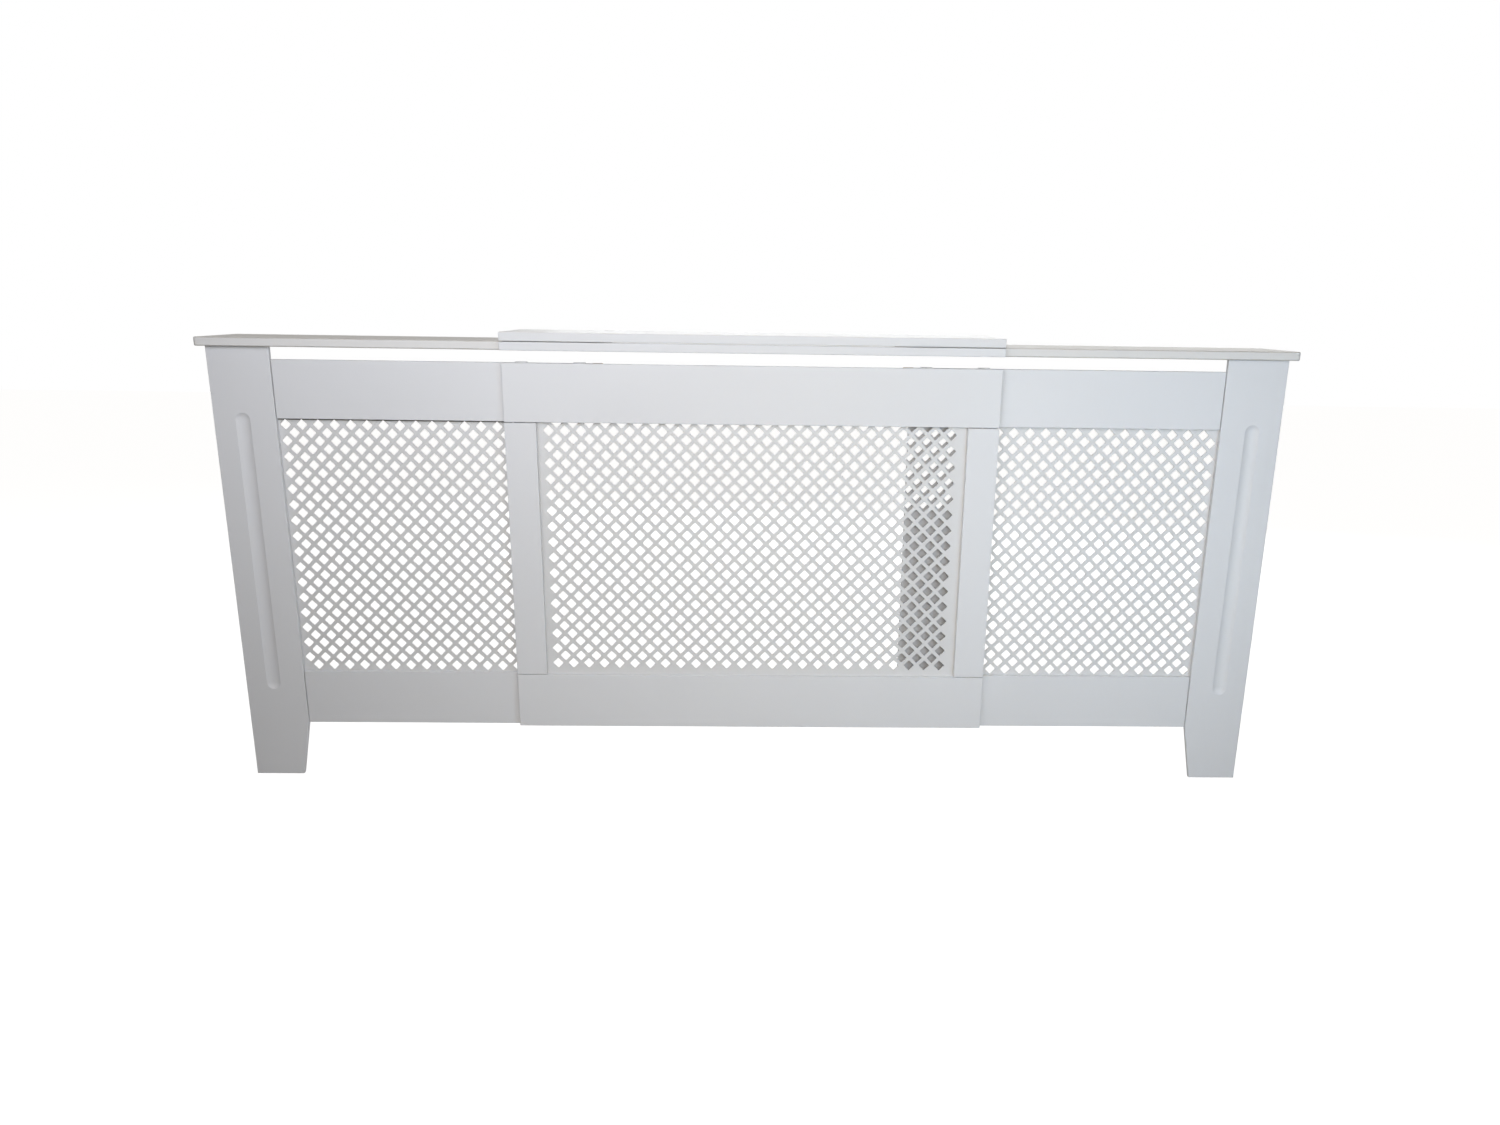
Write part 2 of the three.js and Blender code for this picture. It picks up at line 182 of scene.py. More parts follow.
soft_lamp(
    "front_lamp", place=(-0.40, -1.15, 1.15), target=(0, 0, 0.75), size=(1.4, 0.6),
    power=10.6, colour=(0.90, 0.93, 1),
)
soft_lamp(
    "warm_lamp", place=(0.3, -2.3, 0.9), target=(0.5, 0, 0.4), size=(1.2, 0.9),
    power=3.8, colour=(1, 0.82, 0.50), spread=100,
)
soft_lamp(
    "right_lamp", place=(1.08, -1.6, 0.7), target=(0.62, 0, 0.45), size=(0.9, 0.8),
    power=4.3, colour=(0.62, 0.80, 1), spread=110,
)
soft_lamp(
    "overhead_lamp", place=(0, 0.3, 2.8), target=(0, 0, 0.8), size=(2.6, 1.4),
    power=6, colour=(1, 0.99, 0.98),
)
soft_lamp(
    "back_lamp", place=(0.6, 2.6, 1.2), target=(0, 0, 0.4), size=(3.0, 1.8),
    power=40, colour=(0.96, 0.98, 1),
)


# ---- centre section: rails and stiles ----
# Two long rails with a short stile butted between them at each end, 9 mm fibreboard, held together
# by the lattice sheet behind them. The edges are eased with abrasive and all is sprayed satin white.
def painted_board_finish(name, face, edge, across, stipple, painted_shade_pair=None, gloss=0.42):
    """Sprayed paint on fibreboard: face and edge are its colours, across is the direction through
    the board and stipple the height of the spray's grain. The optional pair after stipple is a
    function that marks where shade is painted into the colour, with that painted shade's colour."""
    finish = bpy.data.materials.new(name)
    start = empty_tree(finish)
    place = start.node("ShaderNodeTexCoord", out="Object")
    facing = start.node("ShaderNodeTexCoord", out="Normal")
    dot_product = {"operation": "DOT_PRODUCT"}
    flatness = abs(start.node("ShaderNodeVectorMath", dot_product, {0: facing, 1: across}, "Value"))
    # The porous sawn edges, and the arris between them and the flat faces.
    sawn = 1 - flatness.between(0.15, 0.5)
    arris = flatness.between(0.1, 0.4) * (1 - flatness.between(0.6, 0.9))

    def noise(scale, detail, rough=0.5):
        values = {"Vector": place, "Scale": scale, "Detail": detail, "Roughness": rough}
        return start.node("ShaderNodeTexNoise", values=values)

    # Broad clouds in the coat, dust specks caught in it, and places where the arris is rubbed.
    clouds = noise(3.1, 2).between(0.35, 0.7)
    patches = noise(23, 4, 0.6)
    specks = noise(520, 2).between(0.72, 0.8) * noise(31, 1).between(0.5, 0.62)
    rubbed = arris * patches.between(0.52, 0.7)
    shade = tuple(channel * 0.955 for channel in face[:3]) + (1,)
    worn = (face[0] * 0.82, face[1] * 0.77, face[2] * 0.69, 1)
    dusty = tuple(channel * 0.86 for channel in face[:3]) + (1,)
    colour = (clouds * 0.55).tint(face, shade)
    # The sawn edges take the edge colour. Where a finish sets it lighter or darker than the face,
    # the difference is painted light and shade, for sides that the lamps reach differently.
    colour = (sawn * 0.75).tint(colour, edge)
    # Painted shade: its dark colour laid in where its function marks.
    if painted_shade_pair is not None:
        painted_shade_where, painted_shade_tone = painted_shade_pair
        colour = painted_shade_where(place).tint(colour, painted_shade_tone)
    colour = (specks * 0.5).tint(colour, dusty)
    colour = (rubbed * 0.45).tint(colour, worn)
    roughness = 0.4 + 0.1 * patches + 0.16 * sawn + 0.2 * rubbed
    # The spray's grain, slow swells under it, and raised fibres on the sawn edges.
    peel = noise(760, 3, 0.55)
    swell = noise(64, 2)
    fibres = noise(2600, 2) * sawn
    relief = stipple * peel + 0.35 * swell + 0.9 * fibres
    bump = start.node(
        "ShaderNodeBump", values={"Height": relief, "Strength": 0.22, "Distance": 0.00012}
    )
    skin = start.node(
        "ShaderNodeBsdfPrincipled",
        values={
            "Base Color": colour,
            "Roughness": roughness,
            "Normal": bump,
            "IOR": 1.48,
            "Specular IOR Level": gloss,
        },
    )
    start.node("ShaderNodeOutputMaterial", values={"Surface": skin})
    return finish


white_face = (0.745, 0.756, 0.787, 1)
# The edges take a lighter white than the faces: painted light on the rail tops and other edges that
# the lamps reach less.
edge_white_painted_light = (0.770, 0.778, 0.800, 1)
through_the_front = (0, 1, 0)
board_stipple = 0.6
upright_paint = painted_board_finish(
    "upright_paint", white_face, edge_white_painted_light, through_the_front, board_stipple
)


def new_piece(name, mesh, finish):
    """A named piece with one finish."""
    piece = bpy.data.objects.new(name, mesh)
    bpy.context.scene.collection.objects.link(piece)
    mesh.materials.append(finish)
    return piece


def sawn_blank(name, outline, face_of, thickness):
    """A closed board: face_of puts a point of the outline and a depth into the cover's frame."""
    mesh = bpy.data.meshes.new(name)
    work = bmesh.new()
    front = [work.verts.new(face_of(a, b, 0)) for a, b in outline]
    back = [work.verts.new(face_of(a, b, thickness)) for a, b in outline]
    work.faces.new(front)
    work.faces.new(back[::-1])
    for i in range(len(outline)):
        j = (i + 1) % len(outline)
        work.faces.new([front[i], back[i], back[j], front[j]])
    bmesh.ops.recalc_face_normals(work, faces=work.faces)
    work.to_mesh(mesh)
    work.free()
    return mesh


def ease(piece, radius, steps=3):
    """Rounds the sharp edges and keeps the large faces flat in the light."""
    for polygon in piece.data.polygons:
        polygon.use_smooth = True
    rounding = piece.modifiers.new("eased_edges", "BEVEL")
    rounding.width = radius
    rounding.segments = steps
    rounding.limit_method = "ANGLE"
    rounding.angle_limit = radians(40)
    rounding.miter_outer = "MITER_ARC"
    flat = piece.modifiers.new("flat_faces", "WEIGHTED_NORMAL")
    flat.keep_sharp = True
    return piece


def finish_piece(piece, body, slot, *nodes):
    """Attaches the piece to the body that carries it and hides the solids it stands for. slot is not
    used.
    """
    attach(piece, body)
    if nodes:
        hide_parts(*nodes)
    return piece


def upright_board(node, body, radius, joint=(0, 0, 0, 0)):
    """A plain board in the front, the size of its node, less a joint's width at its left,
    bottom, right and top edge."""
    low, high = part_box(node)
    left, bottom = low.x + joint[0], low.z + joint[1]
    right, top = high.x - joint[2], high.z - joint[3]
    outline = [(left, bottom), (right, bottom), (right, top), (left, top)]
    mesh = sawn_blank(node, outline, lambda x, z, y: (x, low.y + y, z), high.y - low.y)
    piece = ease(new_piece(node + "_board", mesh, upright_paint), radius)
    return finish_piece(piece, body, "white_paint", node)


rail_round = 0.0011
stile_round = 0.0009
stile_joints = (0, 0.0011, 0, 0.0013)
for rail in ("centre_top_rail", "centre_bottom_rail"):
    upright_board(rail, "centre", rail_round)
for stile in ("centre_left_stile", "centre_right_stile"):
    upright_board(stile, "centre", stile_round, stile_joints)

# ---- lattice sheets ----
# 3 mm board punched with square holes on their corners, painted and then pinned behind the frames.
# The right end's sheet is the left one's turned half a turn, which puts its wide margin inside.
hole_pitch = 0.020
hole_side = 0.0136
hole_step = hole_pitch / sqrt(2)
half_diagonal = hole_side / sqrt(2)
clipped_corner = 0.0007
punched_edge = 0.00025
same_point = 2e-6
no_length = 1e-7
lattice_rows = 32
centre_columns = 51
end_columns = 31
centre_sheet_shift = -0.0039
centre_sheet_raise = 0.0102
hole_to_leg = 0.002

lattice_face = (0.705, 0.708, 0.720, 1)
lattice_edge = (0.655, 0.656, 0.664, 1)
lattice_stipple = 0.8


def lattice_finish(name, painted_shade_pair=None):
    return painted_board_finish(
        name, lattice_face, lattice_edge, through_the_front, lattice_stipple, painted_shade_pair
    )


lattice_paint = lattice_finish("lattice_paint")


def punched_hole(x, z):
    """A square on its corner, with each corner just broken."""
    a = half_diagonal
    c = clipped_corner
    return [
        (x + a - c, z - c), (x + a - c, z + c), (x + c, z + a - c), (x - c, z + a - c),
        (x - a + c, z + c), (x - a + c, z - c), (x - c, z - a + c), (x + c, z - a + c),
    ]


def hole_grid(columns, rows, first_x, first_z, first):
    """Middles of the holes, every second place; first is 1 where the first place stays solid."""
    return [
        (first_x + column * hole_step, first_z - row * hole_step)
        for row in rows
        for column in columns
        if (column + row) % 2 == first
    ]


def lattice_sheet(node, body, holes, notches=(), finish=lattice_paint):
    """The rim and every hole are one flat outline, thickened. A notch is a hole's middle, from the
    top down, where the left edge cuts through the hole."""
    low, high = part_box(node)
    rim = [(low.x, low.z), (high.x, low.z), (high.x, high.z), (low.x, high.z)]
    for x, z in notches:
        a = half_diagonal
        open_half = a - (x - low.x)
        rim += [(low.x, z + open_half), (x, z + a), (x + a, z), (x, z - a)]
        rim.append((low.x, z - open_half))
    sketch = bpy.data.curves.new(node, "CURVE")
    sketch.dimensions = "2D"
    sketch.fill_mode = "BOTH"
    sketch.extrude = (high.y - low.y) / 2 - punched_edge
    sketch.bevel_depth = punched_edge
    sketch.bevel_resolution = 0
    sketch.offset = -punched_edge
    for loop in [rim] + [punched_hole(x, z) for x, z in holes]:
        line = sketch.splines.new("POLY")
        line.points.add(len(loop) - 1)
        line.use_cyclic_u = True
        for point, (x, z) in zip(line.points, loop):
            point.co = (x, z, 0, 1)
    drawn = bpy.data.objects.new(node + "_sketch", sketch)
    bpy.context.scene.collection.objects.link(drawn)
    bpy.context.view_layer.update()
    mesh = bpy.data.meshes.new_from_object(drawn)
    bpy.data.objects.remove(drawn)
    mesh.name = node
    middle = (low.y + high.y) / 2
    mesh.transform(Matrix.Translation((0, middle, 0)) @ Matrix.Rotation(pi / 2, 4, "X"))
    work = bmesh.new()
    work.from_mesh(mesh)
    bmesh.ops.remove_doubles(work, verts=work.verts, dist=same_point)
    bmesh.ops.dissolve_degenerate(work, edges=work.edges, dist=no_length)
    bmesh.ops.recalc_face_normals(work, faces=work.faces)
    work.to_mesh(mesh)
    work.free()
    mesh.materials.clear()
    piece = new_piece(node + "_sheet", mesh, finish)
    return finish_piece(piece, body, "lattice_paint", node)


opening_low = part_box("centre_bottom_rail")[1].z
opening_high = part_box("centre_top_rail")[0].z
top_row_z = (opening_low + opening_high) / 2 + (lattice_rows - 1) / 2 * hole_step
leg_inner_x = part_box("right_leg")[0].x
outer_hole_x = leg_inner_x - hole_to_leg - half_diagonal
rows = range(lattice_rows)
centre_first_x = centre_sheet_shift - (centre_columns - 1) / 2 * hole_step
centre_first_z = top_row_z + centre_sheet_raise
centre_holes = hole_grid(range(centre_columns), rows, centre_first_x, centre_first_z, 1)
lattice_sheet("centre_lattice", "centre", centre_holes)

# Under the left end's top rail a thin dark line is painted on the sheet's front, in the corner
# where the rail meets it: painted shade.
rail_shadow_dark = (0.10, 0.092, 0.085, 1)
rail_shadow_drop = 0.0029
rail_shadow_depth = 0.0008
fade_below = 0.0006
fade_above = 0.001
fade_behind = 0.0004
sheet_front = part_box("left_lattice")[0].y


# Painted shade: a band just under the rail, on the sheet's front face only.
def rail_shadow_line(place):
    line_z = opening_high - rail_shadow_drop
    line_y = sheet_front + rail_shadow_depth
    height = place.node("ShaderNodeSeparateXYZ", values={0: place}, out="Z")
    depth = place.node("ShaderNodeSeparateXYZ", values={0: place}, out="Y")
    above_line = height.between(line_z, line_z + fade_below)
    past_rail = height.between(opening_high, opening_high + fade_above)
    behind = depth.between(line_y, line_y + fade_behind)
    return above_line * (1 - past_rail) * (1 - behind)


rail_shadow_paint = lattice_finish("rail_shadow_paint", (rail_shadow_line, rail_shadow_dark))
left_holes = hole_grid(range(end_columns), rows, -outer_hole_x, top_row_z, 0)
lattice_sheet("left_lattice", "left_end", left_holes, finish=rail_shadow_paint)

# The punch ran on into the right sheet's wide margin for ten rows, and the sheet was then cut
# through the last column. That margin stays behind the centre, and its shade there is painted
# on as a grey: painted shade.
margin_shade_grey = (0.53, 0.535, 0.56, 1)
margin_rows = range(10)
whole_margin_columns = range(-7, 0)
cut_margin_columns = [-8]
right_first_x = outer_hole_x - (end_columns - 1) * hole_step
margin_shade_to = right_first_x - 0.014
margin_shade_from = right_first_x + 0.002
ragged_by = 0.012


# Painted shade over the margin, with a ragged edge towards the holes.
def margin_shade_mask(place):
    ragged = place.node("ShaderNodeTexNoise", values={"Vector": place, "Scale": 90, "Detail": 3})
    x = place.node("ShaderNodeSeparateXYZ", values={0: place}, out="X")
    return 1 - (x + ragged_by * ragged).between(margin_shade_to, margin_shade_from)


margin_shade_paint = lattice_finish("margin_shade_paint", (margin_shade_mask, margin_shade_grey))
right_holes = hole_grid(range(end_columns), rows, right_first_x, top_row_z, 1)
right_holes += hole_grid(whole_margin_columns, margin_rows, right_first_x, top_row_z, 1)
cut_holes = hole_grid(cut_margin_columns, margin_rows, right_first_x, top_row_z, 1)
lattice_sheet("right_lattice", "right_end", right_holes, cut_holes, margin_shade_paint)

# ---- centre shelf and its lip ----
# A 15 mm shelf that lies over the two end shelves, with a 12 mm strip glued under its front edge
# that hides where they slide.
# The shelf's top is painted a lighter white than its front: painted light on the top.
shelf_top_painted_light = (0.80, 0.803, 0.815, 1)
through_the_shelf = (0, 0, 1)
shelf_round = 0.0016
lip_round = 0.0014
lip_joint = (0, 0, 0, 0.0011)
flat_paint = painted_board_finish(
    "flat_paint", shelf_top_painted_light, white_face, through_the_shelf, board_stipple
)


def lying_board(node, body, radius, outline, finish):
    """A shelf of its node's thickness, with the outline seen from above."""
    low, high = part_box(node)
    mesh = sawn_blank(node, outline, lambda x, y, z: (x, y, low.z + z), high.z - low.z)
    piece = ease(new_piece(node + "_board", mesh, finish), radius, steps=4)
    return finish_piece(piece, body, "white_paint", node)


low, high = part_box("centre_shelf")
outline = [(low.x, low.y), (high.x, low.y), (high.x, high.y), (low.x, high.y)]
lying_board("centre_shelf", "centre", shelf_round, outline, flat_paint)
upright_board("centre_shelf_lip", "centre", lip_round, lip_joint)

# ---- end shelves ----
# 15 mm boards, rounded at their outer front corners, screwed to a cleat on the side panel. They
# slide under the centre shelf, and their paint is matt.
# The tops are painted darker and warmer than the fronts: painted shade on tops that the lamps only
# graze, and the fronts painted lighter.
slid_top_painted_shade = (0.65, 0.635, 0.615, 1)
slid_edge = (0.83, 0.832, 0.84, 1)
slid_gloss = 0.04
slid_round = 0.0025
corner_radius = 0.007
corner_steps = 8
slid_paint = painted_board_finish(
    "slid_paint", slid_top_painted_shade, slid_edge, through_the_shelf, board_stipple, gloss=slid_gloss
)
for side_name, side in (("left", -1), ("right", 1)):
    node = side_name + "_shelf"
    low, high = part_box(node)
    outer = high.x if side > 0 else -low.x
    inner = low.x if side > 0 else -high.x
    outline = [(inner, low.y)]
    for step in range(corner_steps + 1):
        angle = pi / 2 * step / corner_steps
        x = outer - corner_radius + corner_radius * sin(angle)
        outline.append((x, low.y + corner_radius - corner_radius * cos(angle)))
    outline += [(outer, high.y), (inner, high.y)]
    seen_from_above = [(side * x, y) for x, y in outline]
    lying_board(node, side_name + "_end", slid_round, seen_from_above, slid_paint)

# ---- legs ----
# 9 mm board down to the floor, its foot cut back on the inner edge, with one long shallow flute run
# down its face by a round-nosed cutter and lifted out at both ends.
flute_width = 0.025
flute_depth = 0.0045
flute_from_edge = 0.050
flute_above_opening = 0.0093
flute_below_opening = 0.035
foot_width = 0.088
leg_round = 0.0012
softened = 0.0008
flute_end_steps = 20
cutter_radius = ((flute_width / 2) ** 2 + flute_depth**2) / (2 * flute_depth)


def flute_ring(centre_x, low_z, high_z, distance):
    """Points at one distance around the line that the cutter's middle follows."""
    ring = []
    for middle_z, first in ((high_z, 0), (low_z, pi)):
        for step in range(flute_end_steps + 1):
            angle = first + pi * step / flute_end_steps
            ring.append((centre_x + distance * cos(angle), middle_z + distance * sin(angle)))
    return ring


def flute_sections():
    """Distance from the middle line and depth, from the softened arris down to the bottom."""
    half = flute_width / 2
    sections = [(half + softened, 0.0), (half + softened * 0.35, 0.00008)]
    rim = cutter_radius - flute_depth
    for share in (0.965, 0.88, 0.78, 0.66, 0.53, 0.4, 0.27, 0.14):
        distance = half * share
        sections.append((distance, sqrt(cutter_radius**2 - distance**2) - rim))
    return sections


def leg_board(node, body, side):
    """The board and its flute as one closed mesh: the flat face is filled around the flute."""
    low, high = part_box(node)
    outer = high.x if side > 0 else -low.x
    inner = low.x if side > 0 else -high.x
    rail_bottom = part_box("centre_bottom_rail")[0].z
    outline = [(outer - foot_width, 0.0), (outer, 0.0), (outer, high.z), (inner, high.z)]
    outline.append((inner, rail_bottom))
    outline = [(side * x, z) for x, z in outline]
    centre_x = side * (outer - flute_from_edge)
    top = opening_high + flute_above_opening - flute_width / 2
    bottom = opening_low - flute_below_opening + flute_width / 2
    mesh = bpy.data.meshes.new(node)
    work = bmesh.new()
    front = [work.verts.new((x, low.y, z)) for x, z in outline]
    back = [work.verts.new((x, high.y, z)) for x, z in outline]
    work.faces.new(back)
    for i in range(len(outline)):
        j = (i + 1) % len(outline)
        work.faces.new([front[i], back[i], back[j], front[j]])
    rings = []
    for distance, depth in flute_sections():
        points = flute_ring(centre_x, bottom, top, distance)
        rings.append([work.verts.new((x, low.y + depth, z)) for x, z in points])
    count = len(rings[0])
    for upper, lower in zip(rings, rings[1:]):
        for i in range(count):
            j = (i + 1) % count
            work.faces.new([upper[i], upper[j], lower[j], lower[i]])
    spine = [
        work.verts.new((centre_x, low.y + flute_depth, top)),
        work.verts.new((centre_x, low.y + flute_depth, bottom)),
    ]
    last = rings[-1]
    arc = flute_end_steps
    for i in range(arc):
        work.faces.new([last[i], last[i + 1], spine[0]])
        work.faces.new([last[arc + 1 + i], last[arc + 2 + i], spine[1]])
    work.faces.new([last[arc], last[arc + 1], spine[1], spine[0]])
    work.faces.new([last[-1], last[0], spine[0], spine[1]])
    rim_edges = []
    for rim in (front, rings[0]):
        for i in range(len(rim)):
            rim_edges.append(work.edges.get((rim[i], rim[(i + 1) % len(rim)])))
    bmesh.ops.triangle_fill(work, edges=rim_edges, normal=(0, -1, 0), use_beauty=True)
    bmesh.ops.recalc_face_normals(work, faces=work.faces)
    work.to_mesh(mesh)
    work.free()
    piece = ease(new_piece(node + "_board", mesh, upright_paint), leg_round)
    return finish_piece(piece, body, "white_paint", node)


leg_board("left_leg", "left_end", -1)
leg_board("right_leg", "right_end", 1)

# ---- end rails ----
# 9 mm fibreboard rails butted against the leg and held by steel plates, with a fine open joint
# between the two. Their inner ends slide in the clips behind the centre.
open_joint = 0.0015
for side_name, joint in (("left", (open_joint, 0, 0, 0)), ("right", (0, 0, open_joint, 0))):
    for level in ("top", "bottom"):
        upright_board(f"{side_name}_{level}_rail", side_name + "_end", rail_round, joint)

# ---- side panels ----
# 12 mm fibreboard from the leg back to the wall, cut out at the back foot for the skirting board
# and screwed to the batten behind the leg.
notch_depth = 0.025
notch_height = 0.120
panel_round = 0.0012
through_the_side = (1, 0, 0)
side_paint = painted_board_finish(
    "side_paint", white_face, edge_white_painted_light, through_the_side, board_stipple
)
for side_name in ("left", "right"):
    node = side_name + "_side_panel"
    low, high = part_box(node)
    notch_y = high.y - notch_depth
    outline = [
        (low.y, low.z), (notch_y, low.z), (notch_y, notch_height),
        (high.y, notch_height), (high.y, high.z), (low.y, high.z),
    ]
    mesh = sawn_blank(node, outline, lambda y, z, x: (low.x + x, y, z), high.x - low.x)
    piece = ease(new_piece(node + "_board", mesh, side_paint), panel_round)
    finish_piece(piece, side_name + "_end", "white_paint", node)

# ---- corner battens, shelf cleats and stop blocks ----
# Planed softwood, not painted. A batten fills the corner of leg and side panel, a cleat holds the
# shelf, and the blocks behind the rails' inner ends meet the clips at full width.
spring_wood = (0.715, 0.545, 0.335, 1)
summer_wood = (0.585, 0.395, 0.205, 1)
amber_wood = (0.66, 0.47, 0.27, 1)
pore_brown = (0.42, 0.27, 0.13, 1)
planed_round = 0.0008


def softwood_finish(name, stretch):
    """Planed pine: stretch draws the pattern out along the grain."""
    finish = bpy.data.materials.new(name)
    start = empty_tree(finish)
    place = start.node("ShaderNodeTexCoord", out="Object")
    along = start.node("ShaderNodeMapping", values={"Vector": place, "Scale": stretch})

    def noise(scale, detail, distortion=0.0):
        values = {"Vector": along, "Scale": scale, "Detail": detail, "Distortion": distortion}
        return start.node("ShaderNodeTexNoise", values=values)

    rings = noise(120, 3, 0.6)
    bands = rings.maths("SINE", rings * 9) * 0.5 + 0.5
    pores = noise(1900, 2).between(0.55, 0.7)
    tone = noise(14, 2)
    colour = bands.between(0.35, 0.95).tint(spring_wood, summer_wood)
    colour = (tone.between(0.3, 0.7) * 0.35).tint(colour, amber_wood)
    colour = (pores * 0.3).tint(colour, pore_brown)
    bump = start.node(
        "ShaderNodeBump",
        values={"Height": bands * 0.5 + pores * -0.5, "Strength": 0.35, "Distance": 0.0002},
    )
    wood = start.node(
        "ShaderNodeBsdfPrincipled",
        values={"Base Color": colour, "Roughness": 0.62 + 0.12 * bands, "Normal": bump},
    )
    start.node("ShaderNodeOutputMaterial", values={"Surface": wood})
    return finish


upright_pine = softwood_finish("upright_pine", (1, 1, 0.06))
lying_pine = softwood_finish("lying_pine", (1, 0.06, 1))


def pine_piece(node, body, finish):
    """A square-cut length of wood of its node's size."""
    low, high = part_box(node)
    outline = [(low.x, low.z), (high.x, low.z), (high.x, high.z), (low.x, high.z)]
    mesh = sawn_blank(node, outline, lambda x, z, y: (x, low.y + y, z), high.y - low.y)
    piece = ease(new_piece(node + "_wood", mesh, finish), planed_round, steps=2)
    return finish_piece(piece, body, "bare_wood", node)


for side_name in ("left", "right"):
    body = side_name + "_end"
    pine_piece(side_name + "_corner_batten", body, upright_pine)
    pine_piece(side_name + "_shelf_cleat", body, lying_pine)
    for level in ("top", "bottom"):
        pine_piece(f"{side_name}_{level}_stop_block", body, upright_pine)

# ---- guide clips ----
# Folded from 1.2 mm steel and enamelled white, eight in all. A clip's front leg lies on the back of
# the centre's rail, and the clip hooks over the edge of the sliding rail. Its back leg has a hole.
clip_steel = 0.0012
clip_bend = 0.0013
clip_hole = 0.004
clip_round = 0.00015
bend_steps = 4
drill_sides = 24
drill_length = 0.010


def steel_finish(name, colour, metallic, roughness, grain):
    """Thin steel with a mottled coat: grain is how strongly its fine surface shows."""
    finish = bpy.data.materials.new(name)
    start = empty_tree(finish)
    place = start.node("ShaderNodeTexCoord", out="Object")

    def noise(scale, detail):
        values = {"Vector": place, "Scale": scale, "Detail": detail}
        return start.node("ShaderNodeTexNoise", values=values)

    mottle = noise(180, 3)
    grit = noise(1500, 2)
    dull = tuple(channel * 0.82 for channel in colour[:3]) + (1,)
    shade = mottle.between(0.35, 0.7).tint(colour, dull)
    bump = start.node(
        "ShaderNodeBump", values={"Height": grit, "Strength": grain, "Distance": 0.00005}
    )
    steel = start.node(
        "ShaderNodeBsdfPrincipled",
        values={
            "Base Color": shade,
            "Metallic": metallic,
            "Roughness": roughness + 0.14 * mottle,
            "Normal": bump,
        },
    )
    start.node("ShaderNodeOutputMaterial", values={"Surface": steel})
    return finish


def folded_outline(path, thickness, bend):
    """The outline of a strip seen from its side: path is the middle of the steel."""
    path = [Vector(point) for point in path]
    middle = [(path[0], (path[1] - path[0]).normalized())]
    for before, corner, after in zip(path, path[1:], path[2:]):
        into = (corner - before).normalized()
        out = (after - corner).normalized()
        for step in range(bend_steps + 1):
            turn = pi / 2 * step / bend_steps
            offset = (sin(turn) - 1) * into + (1 - cos(turn)) * out
            way = cos(turn) * into + sin(turn) * out
            middle.append((corner + bend * offset, way))
    middle.append((path[-1], (path[-1] - path[-2]).normalized()))
    half = thickness / 2
    one = [(p.x - way.y * half, p.y + way.x * half) for p, way in middle]
    other = [(p.x + way.y * half, p.y - way.x * half) for p, way in middle]
    return one + other[::-1]


def cut_away(mesh, cutters):
    """The mesh with each cutter's shape taken out of it."""
    blank = bpy.data.objects.new("blank", mesh)
    bpy.context.scene.collection.objects.link(blank)
    spent = [blank]
    for cutter_mesh in cutters:
        cutter = bpy.data.objects.new("cutter", cutter_mesh)
        bpy.context.scene.collection.objects.link(cutter)
        cut = blank.modifiers.new("cut", "BOOLEAN")
        cut.operation = "DIFFERENCE"
        cut.solver = "EXACT"
        cut.object = cutter
        spent.append(cutter)
    bpy.context.view_layer.update()
    result = bpy.data.meshes.new_from_object(
        blank.evaluated_get(bpy.context.evaluated_depsgraph_get())
    )
    for tool in spent:
        bpy.data.objects.remove(tool)
    return result


def drilled(mesh, middle, diameter):
    """The mesh with a round hole from front to back through the middle given."""
    drill = bpy.data.meshes.new("drill")
    radius = diameter / 2
    work = bmesh.new()
    bmesh.ops.create_cone(
        work, cap_ends=True, segments=drill_sides, radius1=radius, radius2=radius, depth=drill_length
    )
    work.to_mesh(drill)
    work.free()
    turn = Vector((0, 0, 1)).rotation_difference(Vector((0, 1, 0))).to_matrix().to_4x4()
    drill.transform(Matrix.Translation(middle) @ turn)
    return cut_away(mesh, [drill])


enamel_white = (0.74, 0.745, 0.76, 1)
white_enamel = steel_finish("white_enamel", enamel_white, metallic=0.0, roughness=0.26, grain=0.05)


def guide_clip(node):
    """Seen from its side a clip is one folded strip, over the top rail or under the bottom one."""
    low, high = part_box(node)
    half = clip_steel / 2
    front, back = low.y + half, high.y - half
    if "_top_" in node:
        crown, tip = high.z - half, low.z
    else:
        crown, tip = low.z + half, high.z
    path = [(front, tip), (front, crown), (back, crown), (back, tip)]
    outline = folded_outline(path, clip_steel, clip_bend)
    mesh = sawn_blank(node, outline, lambda y, z, x: (low.x + x, y, z), high.x - low.x)
    middle = ((low.x + high.x) / 2, back, (crown + tip) / 2)
    mesh = drilled(mesh, middle, clip_hole)
    piece = ease(new_piece(node + "_steel", mesh, white_enamel), clip_round, steps=1)
    return finish_piece(piece, "centre", "white_steel", node)


for side_name in ("left", "right"):
    for level in ("top", "bottom"):
        for spot in ("outer", "inner"):
            guide_clip(f"{side_name}_{level}_{spot}_clip")

# ---- joining plates and wall brackets ----
# Bright zinc-plated steel: 2 mm flat plates with clipped corners across the joints of leg and
# rails, and small angles at the back edge of each side panel whose free holes take the wall screws.
zinc_grey = (0.60, 0.61, 0.63, 1)
bright_zinc = steel_finish("bright_zinc", zinc_grey, metallic=1.0, roughness=0.24, grain=0.25)
plate_corner = 0.005
plate_round = 0.0003
bracket_steel = 0.002
bracket_bend = 0.002
bracket_hole = 0.005
bracket_hole_from_corner = 0.0155
bracket_round = 0.0002


